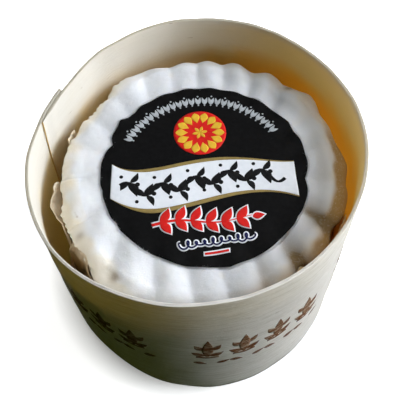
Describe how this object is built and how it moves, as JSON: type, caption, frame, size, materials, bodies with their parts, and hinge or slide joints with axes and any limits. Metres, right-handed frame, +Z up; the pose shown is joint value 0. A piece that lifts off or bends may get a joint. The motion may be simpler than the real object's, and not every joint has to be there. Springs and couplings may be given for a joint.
{
  "type": "soft white-rinded chaource cheese in a wood veneer band",
  "caption": "Small drum of soft cheese with a fluted white rind and a round paper label on top, paper round its side, standing in a tall bent wood veneer band that is open above and below.",
  "frame": {"origin": "centre of the overall box at its base, on the surface that the band and the cheese stand on", "axes": "+Z up along the cheese's axis; +Y away from the viewer, so that the viewer looks from -Y; +X to the viewer's right"},
  "size_m": [0.0957, 0.0962, 0.0722],
  "materials": {
    "veneer": "matte",
    "wrapper_paper": "matte",
    "rind": "matte",
    "label_paper": "satin"
  },
  "bodies": {
    "root": {"wood_band": "veneer", "wrapper": "wrapper_paper", "cheese": "rind", "label": "label_paper"}
  },
  "joints": []
}
